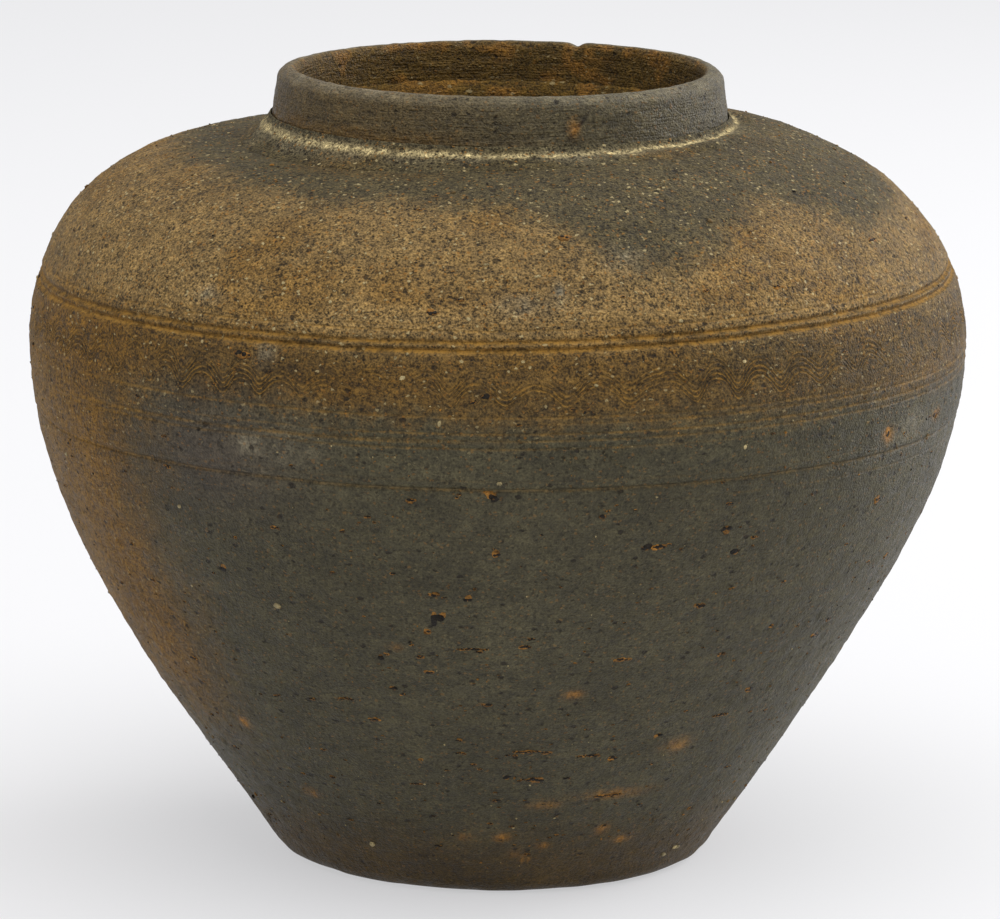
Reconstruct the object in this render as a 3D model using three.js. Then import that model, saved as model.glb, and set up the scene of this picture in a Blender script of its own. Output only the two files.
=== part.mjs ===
// A wide-shouldered storage jar of unglazed stoneware, built up from luted members.
// Lengths are millimetres, +Z is up and the origin is the centre of the base, on the ground.
// A profile point is a Vector2: x is the radius and y is the height.
import * as THREE from 'three';

// Outer form of the body
const FOOT_FLAT_RADIUS = 59;
const FOOT_EDGE_RISE = 4;
const FOOT_EDGE_RADIUS = 67;
const BELLY_RADIUS = 140;
const BELLY_HEIGHT = 156;
const SHOULDER_TOP_RADIUS = 70;
const SHOULDER_TOP_HEIGHT = 217.3;

// How the two wall curves leave their ends: pull lengths and slopes
const FLANK_FOOT_PULL = 60;
const FLANK_FOOT_SLOPE_DEG = 55.8;
const FLANK_BELLY_PULL = 49.8;
const DOME_BELLY_PULL = 5.1;
const DOME_TOP_PULL = 70.1;
const DOME_TOP_SLOPE_DEG = 3.25;

// Clay thicknesses, and the slip that lutes one member to the next
const WALL = 7.5;
const BASE_THICKNESS = 9;
const SLIP = 0.3;

// Incised grooves, which hide the two seams of the girth band
const SINGLE_GROOVE_HEIGHT = 136.8;
const DOUBLE_GROOVE_HEIGHT = 175.2;
const DOUBLE_GROOVE_SPACING = 2.5;
const GROOVE_WIDTH = 2;
const GROOVE_DEPTH = 0.9;

// Collar with its thick lip
const NECK_INNER_RADIUS = 60.4;
const NECK_FOOT_RADIUS = 68;
const LIP_OUTER_RADIUS = 66.4;
const LIP_BEVEL_DROP = 3.4;
const LIP_LAND_WIDTH = 2;
const LIP_ROUND = 0.9;
const RIM_HEIGHT = 236.6;

// Rolls of clay pressed into the corners
const NECK_FILLET_RISE = 4.6;
const NECK_FILLET_REACH = 6.5;
const NECK_FILLET_CROWN = 0.7;
const INNER_FILLET_RISE = 7.5;
const INNER_FILLET_DROP = 6.5;
const INNER_FILLET_BULGE = 3;
const BASE_FILLET_SIZE = 9;
const BASE_FILLET_HOLLOW = 1.6;

// Facets round the jar and along its curves
const ROUND_STEPS = 72;
const FLANK_STEPS = 8;
const GIRTH_STEPS = 5;
const DOME_STEPS = 9;
const FILLET_STEPS = 5;

const radians = THREE.MathUtils.degToRad;
const point = (radius, height) => new THREE.Vector2(radius, height);

// The flank rises from the foot's edge to the belly, and the dome from there to the neck.
function flankCurve() {
  const start = point(FOOT_EDGE_RADIUS, FOOT_EDGE_RISE);
  const end = point(BELLY_RADIUS, BELLY_HEIGHT);
  const slope = radians(FLANK_FOOT_SLOPE_DEG);
  const startPull = point(Math.cos(slope), Math.sin(slope)).multiplyScalar(FLANK_FOOT_PULL);
  return new THREE.CubicBezierCurve(
    start,
    start.clone().add(startPull),
    end.clone().sub(point(0, FLANK_BELLY_PULL)),
    end,
  );
}

function domeCurve() {
  const start = point(BELLY_RADIUS, BELLY_HEIGHT);
  const end = point(SHOULDER_TOP_RADIUS, SHOULDER_TOP_HEIGHT);
  const slope = radians(-DOME_TOP_SLOPE_DEG);
  const endPull = point(Math.cos(slope), Math.sin(slope)).multiplyScalar(DOME_TOP_PULL);
  return new THREE.CubicBezierCurve(
    start,
    start.clone().add(point(0, DOME_BELLY_PULL)),
    end.clone().add(endPull),
    end,
  );
}

const FLANK = flankCurve();
const DOME = domeCurve();
const PROFILE_END = 2;

// A place on the body's profile: along runs 0 to 1 up the flank and 1 to 2 up the dome,
// and depth is measured into the clay, square to the outer surface.
function bodyPoint(along, depth = 0) {
  const onFlank = along < 1;
  const curve = onFlank ? FLANK : DOME;
  const t = onFlank ? along : along - 1;
  const tangent = curve.getTangent(t);
  return curve.getPoint(t).sub(point(tangent.y, -tangent.x).multiplyScalar(depth));
}

// Finds the place on the profile at a height by halving the interval.
function alongAtHeight(height) {
  const halvings = 40;
  let low = 0;
  let high = PROFILE_END;
  for (let i = 0; i < halvings; i += 1) {
    const middle = (low + high) / 2;
    if (bodyPoint(middle).y < height) low = middle;
    else high = middle;
  }
  return low;
}

function bodyStretch(from, to, steps, depth = 0) {
  return Array.from({ length: steps + 1 }, (_, i) => bodyPoint(from + ((to - from) * i) / steps, depth));
}

// A groove's near edge, bottom and far edge, in the outer surface at a height.
function groovePoints(height) {
  return [
    bodyPoint(alongAtHeight(height - GROOVE_WIDTH / 2)),
    bodyPoint(alongAtHeight(height), GROOVE_DEPTH),
    bodyPoint(alongAtHeight(height + GROOVE_WIDTH / 2)),
  ];
}

// Turns a closed profile, listed counter-clockwise as seen with the axis on the left.
function turned(name, profile, colour, roughness) {
  const closed = profile[0].x === 0 ? profile : [...profile, profile[0].clone()];
  const geometry = new THREE.LatheGeometry(closed, ROUND_STEPS);
  geometry.rotateX(Math.PI / 2);
  const material = new THREE.MeshStandardMaterial({ color: colour, roughness, metalness: 0 });
  const mesh = new THREE.Mesh(geometry, material);
  mesh.name = name;
  return mesh;
}

// The slab under everything, with its rounded foot edge.
function baseDisc() {
  const edge = new THREE.QuadraticBezierCurve(
    point(FOOT_FLAT_RADIUS, 0),
    point((FOOT_FLAT_RADIUS + FOOT_EDGE_RADIUS) / 2, 0),
    point(FOOT_EDGE_RADIUS, FOOT_EDGE_RISE),
  );
  return turned('base_disc', [
    point(0, 0),
    ...edge.getPoints(FILLET_STEPS),
    bodyPoint(alongAtHeight(BASE_THICKNESS)),
    point(0, BASE_THICKNESS),
  ], '#3f3a30', 0.9);
}

// The coil pressed into the corner between the slab and the wall.
function baseFillet() {
  const floor = BASE_THICKNESS + SLIP;
  const depth = WALL + SLIP;
  const low = alongAtHeight(floor);
  const high = alongAtHeight(floor + BASE_FILLET_SIZE);
  const outside = bodyStretch(low, high, FILLET_STEPS, depth).filter((p) => p.y > floor);
  const slope = (outside[1].x - outside[0].x) / (outside[1].y - outside[0].y);
  const corner = point(outside[0].x - slope * (outside[0].y - floor), floor);
  const top = outside[outside.length - 1];
  const toe = point(corner.x - BASE_FILLET_SIZE, floor);
  const hollow = point(
    (top.x + toe.x) / 2 + BASE_FILLET_HOLLOW,
    (top.y + toe.y) / 2 - BASE_FILLET_HOLLOW,
  );
  const face = new THREE.QuadraticBezierCurve(top, hollow, toe).getPoints(FILLET_STEPS);
  return turned('base_fillet', [toe, corner, ...outside, ...face.slice(1, -1)], '#3b352b', 0.95);
}

// The tapering wall, from the slab up to the single groove.
function lowerWall() {
  const bottom = alongAtHeight(BASE_THICKNESS + SLIP);
  const grooveEdge = alongAtHeight(SINGLE_GROOVE_HEIGHT - GROOVE_WIDTH / 2);
  const top = alongAtHeight(SINGLE_GROOVE_HEIGHT - SLIP / 2);
  const inside = bodyStretch(top, bottom, FLANK_STEPS - 1, WALL).filter((p) => p.y > BASE_THICKNESS + SLIP);
  const last = inside[inside.length - 1];
  const seat = point(last.x - (last.y - BASE_THICKNESS - SLIP) * 0.5, BASE_THICKNESS + SLIP);
  return turned('lower_wall', [
    seat,
    ...bodyStretch(bottom, grooveEdge, FLANK_STEPS),
    bodyPoint(top, GROOVE_DEPTH),
    ...inside,
  ], '#3d3b33', 0.85);
}

// The widest course, which carries the combed waves.
function girthBand() {
  const bottom = alongAtHeight(SINGLE_GROOVE_HEIGHT + SLIP / 2);
  const lowEdge = alongAtHeight(SINGLE_GROOVE_HEIGHT + GROOVE_WIDTH / 2);
  const highEdge = alongAtHeight(DOUBLE_GROOVE_HEIGHT - GROOVE_WIDTH / 2);
  const top = alongAtHeight(DOUBLE_GROOVE_HEIGHT - SLIP / 2);
  return turned('girth_band', [
    bodyPoint(bottom, GROOVE_DEPTH),
    ...bodyStretch(lowEdge, highEdge, GIRTH_STEPS),
    bodyPoint(top, GROOVE_DEPTH),
    ...bodyStretch(top, bottom, GIRTH_STEPS, WALL),
  ], '#4a3f2d', 0.85);
}

// The domed course, which turns in under the collar and ends at the mouth.
function shoulder() {
  const bottom = alongAtHeight(DOUBLE_GROOVE_HEIGHT + SLIP / 2);
  const lowEdge = alongAtHeight(DOUBLE_GROOVE_HEIGHT + GROOVE_WIDTH / 2);
  const upperGroove = groovePoints(DOUBLE_GROOVE_HEIGHT + DOUBLE_GROOVE_SPACING);
  const aboveGrooves = alongAtHeight(upperGroove[2].y + GROOVE_WIDTH);
  return turned('shoulder', [
    bodyPoint(bottom, GROOVE_DEPTH),
    bodyPoint(lowEdge),
    ...upperGroove,
    ...bodyStretch(aboveGrooves, PROFILE_END, DOME_STEPS),
    point(NECK_INNER_RADIUS, SHOULDER_TOP_HEIGHT),
    point(NECK_INNER_RADIUS, SHOULDER_TOP_HEIGHT - WALL),
    ...bodyStretch(PROFILE_END, bottom, DOME_STEPS, WALL),
  ], '#5e4d33', 0.9);
}

// The upright collar: its lip has a flat land, a rounded inner edge and an outer bevel.
function neckCollar() {
  const foot = SHOULDER_TOP_HEIGHT + SLIP;
  const landInner = NECK_INNER_RADIUS + LIP_ROUND;
  const landOuter = landInner + LIP_LAND_WIDTH;
  const bevel = new THREE.QuadraticBezierCurve(
    point(LIP_OUTER_RADIUS, RIM_HEIGHT - LIP_BEVEL_DROP),
    point(LIP_OUTER_RADIUS - LIP_ROUND, RIM_HEIGHT - LIP_ROUND),
    point(landOuter, RIM_HEIGHT),
  );
  return turned('neck_collar', [
    point(NECK_INNER_RADIUS, foot),
    point(NECK_FOOT_RADIUS, foot),
    ...bevel.getPoints(FILLET_STEPS),
    point(landInner, RIM_HEIGHT),
    point(NECK_INNER_RADIUS, RIM_HEIGHT - LIP_ROUND),
  ], '#45413a', 0.85);
}

// The collar's outer radius at a height above its foot, on its straight side.
function collarRadius(rise) {
  const height = RIM_HEIGHT - LIP_BEVEL_DROP - SHOULDER_TOP_HEIGHT - SLIP;
  return NECK_FOOT_RADIUS + ((LIP_OUTER_RADIUS - NECK_FOOT_RADIUS) * rise) / height;
}

// The pale roll round the outside of the collar's foot.
function neckFillet() {
  const floor = SHOULDER_TOP_HEIGHT + SLIP;
  const corner = point(NECK_FOOT_RADIUS + SLIP, floor);
  const head = point(collarRadius(NECK_FILLET_RISE) + SLIP, floor + NECK_FILLET_RISE);
  const toe = point(NECK_FOOT_RADIUS + NECK_FILLET_REACH, floor);
  const crown = point(
    (head.x + toe.x) / 2 + NECK_FILLET_CROWN,
    (head.y + toe.y) / 2 + NECK_FILLET_CROWN,
  );
  const face = new THREE.QuadraticBezierCurve(toe, crown, head).getPoints(FILLET_STEPS);
  return turned('neck_fillet', [corner, ...face], '#8d8069', 0.95);
}

// The rough roll inside the neck, across the joint of collar and shoulder.
function innerNeckFillet() {
  const outside = NECK_INNER_RADIUS - SLIP;
  const low = point(outside, SHOULDER_TOP_HEIGHT - INNER_FILLET_DROP);
  const high = point(outside, SHOULDER_TOP_HEIGHT + INNER_FILLET_RISE);
  const bulge = point(outside - 2 * INNER_FILLET_BULGE, (low.y + high.y) / 2);
  const face = new THREE.QuadraticBezierCurve(high, bulge, low).getPoints(FILLET_STEPS + 1);
  return turned('inner_neck_fillet', face, '#4b3d27', 0.95);
}

const jar = new THREE.Group();
jar.name = 'pottery_jar';
jar.add(
  baseDisc(),
  baseFillet(),
  lowerWall(),
  girthBand(),
  shoulder(),
  neckCollar(),
  neckFillet(),
  innerNeckFillet(),
);

export default jar;
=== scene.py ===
# %% [markdown]
# # An unglazed stoneware jar
# The real jar was built from a slab and thick coils of gritty clay, smoothed on a slow wheel,
# combed while damp and fired without a glaze. Every wall here is one surface, worked out as a
# whole array of points from two parameters: the angle round the jar and the distance up its skin.
# The solids of the frame say where each member starts and ends.

# %% Set-up
import functools
import math

import bmesh
import bpy
import numpy as np
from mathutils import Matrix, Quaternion, Vector


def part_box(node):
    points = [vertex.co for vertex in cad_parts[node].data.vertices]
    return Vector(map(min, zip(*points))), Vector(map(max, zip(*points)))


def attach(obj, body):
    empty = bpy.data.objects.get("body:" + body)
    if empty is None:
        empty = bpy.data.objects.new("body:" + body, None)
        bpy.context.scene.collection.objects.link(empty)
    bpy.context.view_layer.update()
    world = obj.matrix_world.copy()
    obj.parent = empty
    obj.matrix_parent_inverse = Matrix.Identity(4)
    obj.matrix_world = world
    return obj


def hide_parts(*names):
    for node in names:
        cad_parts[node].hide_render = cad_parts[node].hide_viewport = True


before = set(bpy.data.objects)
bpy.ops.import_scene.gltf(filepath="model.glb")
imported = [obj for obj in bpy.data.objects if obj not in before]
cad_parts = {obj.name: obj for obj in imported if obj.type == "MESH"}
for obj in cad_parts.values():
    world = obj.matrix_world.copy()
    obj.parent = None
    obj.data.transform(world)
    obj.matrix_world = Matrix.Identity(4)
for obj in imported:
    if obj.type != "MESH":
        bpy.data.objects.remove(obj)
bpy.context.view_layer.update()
MM = 0.001
print("frame nodes:", sorted(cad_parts))


# %% [markdown]
# ## The profile
# A potter shapes the wall with a rib, which leaves long easy curves. Two cubic curves are enough:
# the flank from the foot's edge to the belly, and the dome from the belly to the neck. They repeat
# the solids' driving sizes, in millimetres, and the largest ones are read from the frame.

# %% Profile of the body
BELLY_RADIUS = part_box("girth_band")[1].x / MM
RIM_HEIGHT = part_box("neck_collar")[1].z / MM
SHOULDER_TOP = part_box("shoulder")[1].z / MM
BASE_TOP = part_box("base_disc")[1].z / MM
BELLY_HEIGHT = 156
FOOT_EDGE = np.array([67.0, 4.0])
SHOULDER_END = np.array([70.0, SHOULDER_TOP])
WALL = 7.5


def cubic(start, pull_a, pull_b, end, count=1500):
    """Points on a cubic Bezier curve, whose inner control points are the ends plus their pulls."""
    t = np.linspace(0, 1, count)[:, None]
    a, b = start + pull_a, end + pull_b
    return (1 - t) ** 3 * start + 3 * (1 - t) ** 2 * t * a + 3 * (1 - t) * t**2 * b + t**3 * end


def polar(length, degrees):
    """A pull of a length, at an angle above the horizontal."""
    return length * np.array([math.cos(math.radians(degrees)), math.sin(math.radians(degrees))])


BELLY = np.array([BELLY_RADIUS, BELLY_HEIGHT])
FLANK = cubic(FOOT_EDGE, polar(60, 55.8), polar(-49.8, 90), BELLY)
DOME = cubic(BELLY, polar(5.1, 90), polar(70.1, -3.25), SHOULDER_END)
CURVE = np.vstack([FLANK, DOME[1:]])
PATH = np.concatenate([[0], np.cumsum(np.hypot(*np.diff(CURVE, axis=0).T))])
SLOPE = np.unwrap(np.arctan2(*np.gradient(CURVE, axis=0).T[::-1]))
PATH_END = PATH[-1]


def profile(s):
    """Radius, height and slope angle at distance s up the skin, by interpolation along the curve."""
    return np.interp(s, PATH, CURVE[:, 0]), np.interp(s, PATH, CURVE[:, 1]), np.interp(s, PATH, SLOPE)


def path_at(height):
    """Distance up the skin at a height on the body."""
    return float(np.interp(height, CURVE[:, 1], PATH))


print(f"skin path {PATH_END:.1f} mm, belly at {path_at(BELLY_HEIGHT):.1f} mm")


# %% [markdown]
# ## Chance, kept in hand
# Clay is never even. A smooth random field is a small grid of random numbers, wrapped round the
# jar and eased between its points. Each one has its own seed, so the jar is the same every time.

# %% Random fields and soft shapes
TURN = 2 * math.pi


def field(seed, a, s, around, tall):
    """Smooth noise from -1 to 1: random values on a grid with `around` cells round the jar and one
    every `tall` mm up the skin, blended with the easing curve 3t^2 - 2t^3."""
    rows = int(400 / tall) + 3
    grid = np.random.default_rng(seed).uniform(-1, 1, (rows, around))
    u = (a / TURN % 1) * around
    v = s / tall + 1
    i, j = np.floor(u).astype(int), np.floor(v).astype(int)
    fu, fv = u - i, v - j
    fu, fv = fu * fu * (3 - 2 * fu), fv * fv * (3 - 2 * fv)
    i0, i1 = i % around, (i + 1) % around
    j0, j1 = j % rows, (j + 1) % rows
    low = grid[j0, i0] * (1 - fu) + grid[j0, i1] * fu
    high = grid[j1, i0] * (1 - fu) + grid[j1, i1] * fu
    return low * (1 - fv) + high * fv


def ease(x, low, high):
    """0 below low, 1 above high, and 3t^2 - 2t^3 between."""
    t = np.clip((x - low) / (high - low), 0, 1)
    return t * t * (3 - 2 * t)


def away(a, centre_deg):
    """Signed angle from a direction, in radians, wrapped to half a turn each way."""
    return (a - math.radians(centre_deg) + math.pi) % TURN - math.pi


def bell(x, width):
    """A bell curve of height 1 whose half width is `width`."""
    return np.exp(-((x / width) ** 2))


# %% [markdown]
# ## Lines cut in the damp clay
# The potter held a point against the turning jar for the grooves, and a comb with a few teeth for
# the waves, moving it up and down. The wheel ran a little out of true, so the lines tilt: they
# climb towards the right. Each line is a distance up the skin as a function of the angle.

# %% Lines round the jar
SINGLE_S = path_at(136.8)
DOUBLE_S = path_at(175.2)
DOUBLE_SPACING = 2.45
DOUBLE_TILT = 2.4


def waver(a):
    """The tremble of the turning, shared by all lines: slow noise round the jar, in millimetres."""
    return 0.25 * field(11, a, a * 0, 40, 50)


def double_line(a):
    """The lower line of the double groove: a tilted circle with a slight waver."""
    return DOUBLE_S + 0.7 + DOUBLE_TILT * np.sin(a) + waver(a)


def single_line(a):
    """The groove under the girth band."""
    return SINGLE_S - 0.3 + 0.6 * np.sin(a) + waver(a)


ALL_ROUND = 400
LINES = [
    # path at the front, tilt, depth and half width in millimetres; middle and spread in degrees
    (DOUBLE_S + 0.7, DOUBLE_TILT, 0.85, 0.75, 0, ALL_ROUND),
    (DOUBLE_S + 0.7 + DOUBLE_SPACING, DOUBLE_TILT, 0.75, 0.7, 0, ALL_ROUND),
    (SINGLE_S - 0.3, 0.6, 0.45, 0.5, 0, ALL_ROUND),
    (197.0, 2.2, 0.3, 0.4, -10, 90),
    (198.6, 2.0, 0.16, 0.35, 20, 100),
    (172.6, 0.9, 0.24, 0.4, -15, 80),
    (170.8, 1.0, 0.24, 0.4, 60, 60),
    (167.9, 1.1, 0.32, 0.4, 30, 75),
    (165.4, 1.0, 0.4, 0.45, -33, 30),
    (166.0, 0.8, 0.3, 0.4, 55, 75),
    (163.6, 1.0, 0.3, 0.4, -20, 50),
    (147.4, 0.4, 0.24, 0.4, 70, 45),
    (154.2, 0.6, 0.12, 0.4, 10, 60),
]


def fade_angles(spread):
    """Cosines of the angles where a line is gone and where it is whole."""
    return math.cos(math.radians(min(1.2 * spread, 180))), math.cos(math.radians(min(0.5 * spread, 90)))


def lines_cut(a, s):
    """Depth of all lines: each is a bell across its tilted circle, and fades past its spread."""
    depth = np.zeros_like(s)
    for front, tilt, cut, width, centre, spread in LINES:
        gone, whole = fade_angles(spread)
        shown = 1.0 if spread == ALL_ROUND else ease(np.cos(away(a, centre)), gone, whole)
        depth += cut * shown * bell(s - waver(a) - front - tilt * np.sin(a), width)
    return depth


TROUGHS_DEG = [-45, -39.7, -33.5, -28.5, -23, -17.5, -11.5, -5.5, 1, 8, 15.5, 23.5, 29, 35, 41, 47]
BACK_TROUGHS = 44
TOOTH_SPACING = 1.45
TEETH = 5


def wave_phase(a):
    """Number of waves from the first trough, eased through the troughs' angles."""
    back = np.linspace(TROUGHS_DEG[-1], TROUGHS_DEG[0] + 360, BACK_TROUGHS + 1)[1:]
    angles = np.radians(np.concatenate([TROUGHS_DEG, back]))
    turned = (a - angles[0]) % TURN + angles[0]
    return np.interp(turned, angles, np.arange(len(angles)))


def comb_lift(a, s):
    """Distance above the comb's lowest tooth, in millimetres: its path is a wave about 3 mm high,
    with sharper troughs than crests, on a line that drifts."""
    height = 2.3 + 0.9 * field(13, a, a * 0, 60, 50)
    turn = TURN * wave_phase(a)
    wave = -np.cos(turn + 0.35 * np.sin(turn)) * height
    return s - (177.0 + 0.9 * np.sin(a) + 0.6 * field(14, a, a * 0, 30, 50) + wave)


def comb_bite(a, s):
    """How hard the comb bites, from 0 to 1: patchy along the way, and softer for the upper teeth."""
    lift = comb_lift(a, s)
    inside = ease(lift, -0.9, -0.4) * (1 - ease(lift, TOOTH_SPACING * (TEETH - 1), TOOTH_SPACING * TEETH))
    patchy = ease(field(20, a, s, 24, 9) + 0.5 * field(21, a, s, 70, 4), -0.75, 0.35)
    return inside * patchy * (1 - 0.35 * ease(lift, 1.5, 6))


def combing(a, s):
    """Depth of the combed waves as far as the mesh can carry it."""
    return 0.3 * comb_bite(a, s) * (0.5 + 0.5 * np.cos(TURN * comb_lift(a, s) / TOOTH_SPACING))


# %% [markdown]
# ## Pits, grains and cracks
# The clay holds sand and burnt-out grit. A grain that dragged under the rib left a pit with a
# short crack. The marks that stand out have their own places, and the rest are strewn by chance.

# %% Marks in the clay
PITS = [
    # angle in degrees, path, length across, length up, depth; all but the angle in millimetres
    (-3, 97.5, 9, 0.7, 0.5), (4.2, 98.6, 3.5, 1, 0.5), (18.3, 92.2, 5, 1.1, 0.6), (-16, 92.8, 2.2, 3.2, 0.7),
    (-8, 108, 1.4, 6, 0.4), (-9, 104, 2, 2, 0.6), (5.5, 57, 8, 0.8, 0.6), (9, 56.2, 3, 1.2, 0.7),
    (16.5, 54, 7, 0.9, 0.6), (21, 52.5, 3, 1.4, 0.6), (22.5, 36.5, 9, 0.9, 0.7), (-14, 42, 4, 0.8, 0.5),
    (40, 64.5, 6, 0.8, 0.5), (-23, 75.5, 5, 0.8, 0.5), (-19, 68.5, 3, 1, 0.5), (28.5, 60, 2.6, 1.6, 0.6),
    (44, 73, 2.6, 1.8, 0.6), (34.5, 90, 3, 1.2, 0.6), (42, 98, 2.4, 1.6, 0.6), (18.7, 131.8, 2.8, 2.6, 0.5),
    (0, 131, 2.4, 2.2, 0.6), (29, 135.5, 3, 2.4, 0.4), (31, 128, 2.8, 2.2, 0.4), (-0.5, 149, 3, 2.4, 0.5),
    (-5.5, 56, 3, 0.9, 0.5), (-1, 76, 3, 1, 0.5), (2.4, 46, 2.4, 2.4, 0.5), (-37, 119, 2.2, 2.4, 0.4),
    (-3.5, 116, 2, 2, 0.4), (-15, 81.5, 3, 1.4, 0.5), (54, 158, 3.5, 4, 0.7), (67, 158, 4, 2.5, 0.6),
]
STROKES = [
    # a slip of the comb below the band: angle and path at its head, run in degrees and drop in mm
    (7.0, 164.0, 2.4, 7.0), (12.2, 163.0, 3.0, 6.0), (8.4, 162.5, 2.0, 4.0),
]


def spot(a, s, centre_deg, path, wide, tall):
    """A soft oval on the skin: 1 at its centre, falling as a bell across and up."""
    radius = np.interp(path, PATH, CURVE[:, 0])
    return np.exp(-((away(a, centre_deg) * radius / wide * 2) ** 2) - ((s - path) / tall * 2) ** 2)


def near(a, s, centre_deg, path, reach):
    """Which points lie within reach of a place, so that far ones cost nothing."""
    radius = np.interp(path, PATH, CURVE[:, 0])
    return (np.abs(away(a, centre_deg)) * radius < reach) & (np.abs(s - path) < reach)


def add_spots(total, a, s, spots, gain=1.0):
    """Adds a list of ovals, each (angle, path, across, up, height), to an array."""
    for centre, path, wide, tall, height in spots:
        here = near(a, s, centre, path, 1.5 * max(wide, tall))
        if here.any():
            total[here] += gain * height * spot(a[here], s[here], centre, path, wide, tall)
    return total


def strewn(seed, count, low, high, size, depth):
    """Ovals by chance: angle, path, across, up and height, with many small ones and few large."""
    rng = np.random.default_rng(seed)
    scale = size * (0.6 + rng.exponential(0.45, count))
    return np.column_stack([
        rng.uniform(-180, 180, count), rng.uniform(low, high, count),
        scale * rng.uniform(0.8, 1.8, count), scale * rng.uniform(0.6, 1.1, count),
        depth * rng.uniform(0.5, 1.2, count),
    ])


SMALL_PITS = strewn(5, 1500, 8, 150, 1.7, 0.34)
BAND_PITS = strewn(6, 500, 150, 262, 1.6, 0.26)
GRAINS = strewn(7, 700, 4, 262, 1.5, 0.22)
print("marks strewn:", len(SMALL_PITS) + len(BAND_PITS) + len(GRAINS))


def strokes(a, s):
    """Depth of the comb's slips, each a short slanting pair of lines."""
    depth = np.zeros_like(s)
    for head, top, run, drop in STROKES:
        down = np.clip((top - s) / drop, 0, 1)
        line = math.radians(head) + math.radians(run) * down**1.5
        inside = (down > 0) & (down < 1)
        depth += 0.4 * inside * bell((a - line) * BELLY_RADIUS, 0.6)
    return depth


# %% [markdown]
# ## The skin's unevenness
# Height above the ideal surface is a sum: a slow swell left by the coils, a slight lean, fine
# rings from the wheel, rough patches, then the cuts and marks. It is never positive at the belly,
# because the belly is the widest place of the solid.

# %% Relief of the outer skin
def lean(a, s):
    """The flank stands 1.3 mm proud on the left, and the dome's top rises on the right."""
    low = -1.3 * bell(s - 80, 45)
    top = 2.6 * ease(s, 238, 268) - 0.7 * bell(s - 212, 14)
    return (low + top) * np.sin(a)


def relief(a, s):
    """Height of the skin above the ideal profile, in millimetres."""
    free = 1 - bell(s - path_at(BELLY_HEIGHT), 24)
    swell = 0.5 * field(1, a, s, 7, 46) + 0.22 * field(2, a, s, 17, 21)
    rings = 0.07 * field(3, a, s, 5, 2.3) + 0.05 * field(4, a, s, 14, 1.1)
    rough = 0.1 * field(8, a, s, 240, 3.4) + 0.09 * field(9, a, s, 560, 1.7)
    height = free * (lean(a, s) + swell) - 0.35 + rings * (0.4 + ease(s, 20, 60)) + rough
    height = height - lines_cut(a, s) - combing(a, s) - strokes(a, s)
    for marks, gain in ((PITS, -1.0), (SMALL_PITS, -1.0), (BAND_PITS, -1.0), (GRAINS, 1.0)):
        height = add_spots(height, a, s, marks, gain)
    return height


# %% [markdown]
# ## The colour of the fire
# Unglazed stoneware takes its colour from the kiln: ochre where air reached it, dark grey where
# smoke lay, and an orange film where fine clay stayed in the cuts. Each tone is one colour, and
# its zone is a formula in angle and path, broken up by noise.

# %% Tones
def linear(text):
    """An sRGB hex colour as linear red, green and blue."""
    c = np.array([int(text[i:i + 2], 16) for i in (1, 3, 5)]) / 255
    return np.where(c <= 0.04045, c / 12.92, ((c + 0.055) / 1.055) ** 2.4)


# The darkest tone is the colour of the clay's dark grit. It is also used as painted shade in pits, in cracks
# and between the comb's lines.
TONES = {name: linear(code) for name, code in {
    "ochre": "#82693f", "umber": "#6e4e17", "iron_grey": "#47422f", "smoke": "#4b432c",
    "violet_grey": "#514640", "foot_brown": "#4d3a19", "orange": "#9c6c2a", "cream": "#c4b180",
    "dark_grit_and_shade": "#211a10", "film": "#a57c36", "neck_grey": "#554d37", "dust": "#867d66",
    "inside_brown": "#614a1c",
}.items()}


def blend(colour, tone, amount):
    """Moves a colour array towards a tone by an amount from 0 to 1."""
    amount = np.clip(amount, 0, 1)[..., None]
    return colour * (1 - amount) + TONES[tone] * amount


SMOKE_EDGE = [
    # lower edge of the dark cloud under the neck: angle in degrees, path in millimetres
    (-180, 238), (-150, 228), (-120, 240), (-90, 249), (-60, 248), (-50, 246), (-40, 242), (-30, 239),
    (-15, 243), (0, 240), (6, 234), (11, 226), (17, 216), (22, 214), (27, 219), (31, 221), (35, 229),
    (42, 236), (49, 236), (55, 227), (61, 219), (72, 219), (90, 228), (120, 240), (150, 233), (180, 238),
]
OCHRE_SPOTS = [
    # where the orange film stayed: angle in degrees, path, length across, length up, strength
    (12, 79.5, 5, 2.4, 0.9), (-46.3, 59, 4, 3, 0.9), (-38.5, 32.5, 5, 2.6, 0.7), (24, 37, 20, 3, 0.45),
    (24, 21.5, 3.5, 3, 0.9), (2, 20, 4, 3, 0.8), (-6, 20, 3, 2, 0.6), (5, 13, 4, 2, 0.6),
    (7.5, 10.5, 3, 2, 0.6), (30, 16.5, 6, 2, 0.6), (11, 16, 3, 1.5, 0.6), (-13.5, 98, 4, 1.2, 0.6),
    (33, 55, 9, 5, 0.35), (10, 34, 9, 3, 0.4), (54, 157, 5, 4, 0.7), (67, 158, 5, 3, 0.7),
]
CREAM_SPOTS = [
    # coarse pale grains: angle in degrees, path, length across and length up
    (-26.2, 252.3, 3.2, 2.8), (19, 148, 2, 2.2), (0.3, 153.5, 2, 2.2), (51, 172, 2.6, 1.8),
    (-29.8, 108.5, 1.8, 4), (-42, 137.5, 1.6, 2.4), (-11, 182.5, 2.4, 2), (30, 185.3, 1.4, 1.6),
    (62.5, 196.5, 3, 3), (22.6, 198.5, 2, 3), (51, 6.5, 5, 3.5), (47, 4.5, 3, 2.5),
    (-66.5, 143, 2, 3), (11.5, 181.3, 1.6, 1.8), (5, 213.5, 1.8, 1.8), (-1.5, 217.5, 2.2, 1.6),
]
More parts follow.
